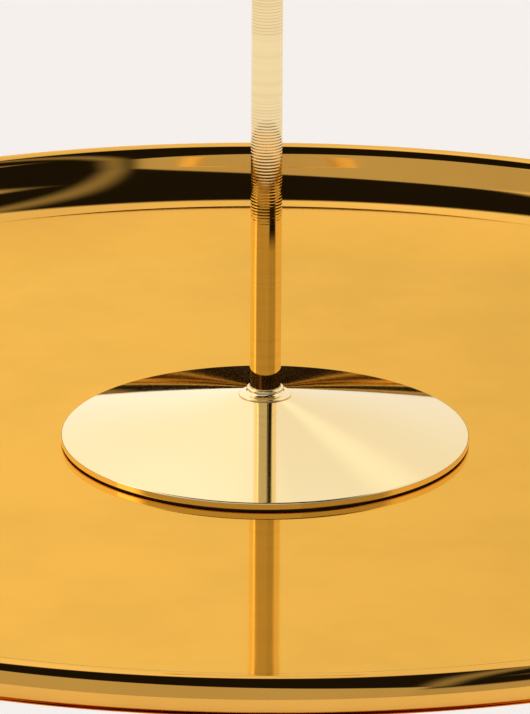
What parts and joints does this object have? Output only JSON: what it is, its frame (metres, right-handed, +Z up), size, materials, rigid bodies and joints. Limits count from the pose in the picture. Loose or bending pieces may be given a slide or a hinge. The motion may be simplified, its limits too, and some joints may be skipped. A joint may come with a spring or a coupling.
{
  "type": "tiered cake stand",
  "caption": "Tiered serving stand: round dished metal trays with rolled rims on a slim threaded stem, with domed centre discs and a ring handle on top.",
  "frame": {"origin": "on the table under the stem's axis", "axes": "+Z up along the stem, ring handle lies in the XZ plane, -Y is the viewer's side"},
  "size_m": [0.4116, 0.4114, 0.4677],
  "materials": {
    "tray_gold": "mirror polished, deep gold",
    "fitting_gold": "mirror polished, pale gold, with fine turning marks",
    "hardware_steel": "zinc plated",
    "rubber": "matt"
  },
  "bodies": {
    "base": {"rubber_feet": "rubber", "base_backing_plate": "hardware_steel", "base_washer": "hardware_steel", "base_screw": "hardware_steel", "bottom_tray": "tray_gold", "bottom_gasket": "rubber", "bottom_domed_disc": "fitting_gold"},
    "bottom_lift": {"bottom_collar": "fitting_gold"},
    "middle_tier": {"lower_stem": "fitting_gold", "middle_support_collar": "fitting_gold", "middle_cushion": "rubber", "middle_tray": "tray_gold", "middle_gasket": "rubber", "middle_domed_disc": "fitting_gold", "middle_stud": "hardware_steel"},
    "middle_lift": {"middle_collar": "fitting_gold"},
    "top_tier": {"upper_stem": "fitting_gold", "top_support_collar": "fitting_gold", "top_cushion": "rubber", "top_tray": "tray_gold", "top_gasket": "rubber", "top_domed_disc": "fitting_gold", "top_stud": "hardware_steel"},
    "top_lift": {"top_collar": "fitting_gold"},
    "handle": {"handle_stem": "fitting_gold", "ring_ferrule": "fitting_gold", "ring_stud": "hardware_steel", "ring_handle": "fitting_gold"}
  },
  "joints": [
    {"name": "lower_stem_lift", "type": "slide", "parent": "base", "child": "bottom_lift", "axis": [0, 0, 1], "range_m": [0, 0.0085]},
    {"name": "lower_stem_turn", "type": "hinge", "parent": "bottom_lift", "child": "middle_tier", "pos_m": [0, 0, 0.0165], "axis": [0, 0, 1], "range_deg": [0, 4320]},
    {"name": "upper_stem_lift", "type": "slide", "parent": "middle_tier", "child": "middle_lift", "axis": [0, 0, 1], "range_m": [0, 0.0085]},
    {"name": "upper_stem_turn", "type": "hinge", "parent": "middle_lift", "child": "top_tier", "pos_m": [0, 0, 0.1665], "axis": [0, 0, 1], "range_deg": [0, 4320]},
    {"name": "handle_stem_lift", "type": "slide", "parent": "top_tier", "child": "top_lift", "axis": [0, 0, 1], "range_m": [0, 0.0085]},
    {"name": "handle_stem_turn", "type": "hinge", "parent": "top_lift", "child": "handle", "pos_m": [0, 0, 0.3165], "axis": [0, 0, 1], "range_deg": [0, 4320]}
  ],
  "couplings": [
    {"joint": "lower_stem_lift", "follows": "lower_stem_turn", "m_per_rad": 0.00011141},
    {"joint": "upper_stem_lift", "follows": "upper_stem_turn", "m_per_rad": 0.00011141},
    {"joint": "handle_stem_lift", "follows": "handle_stem_turn", "m_per_rad": 0.00011141}
  ]
}
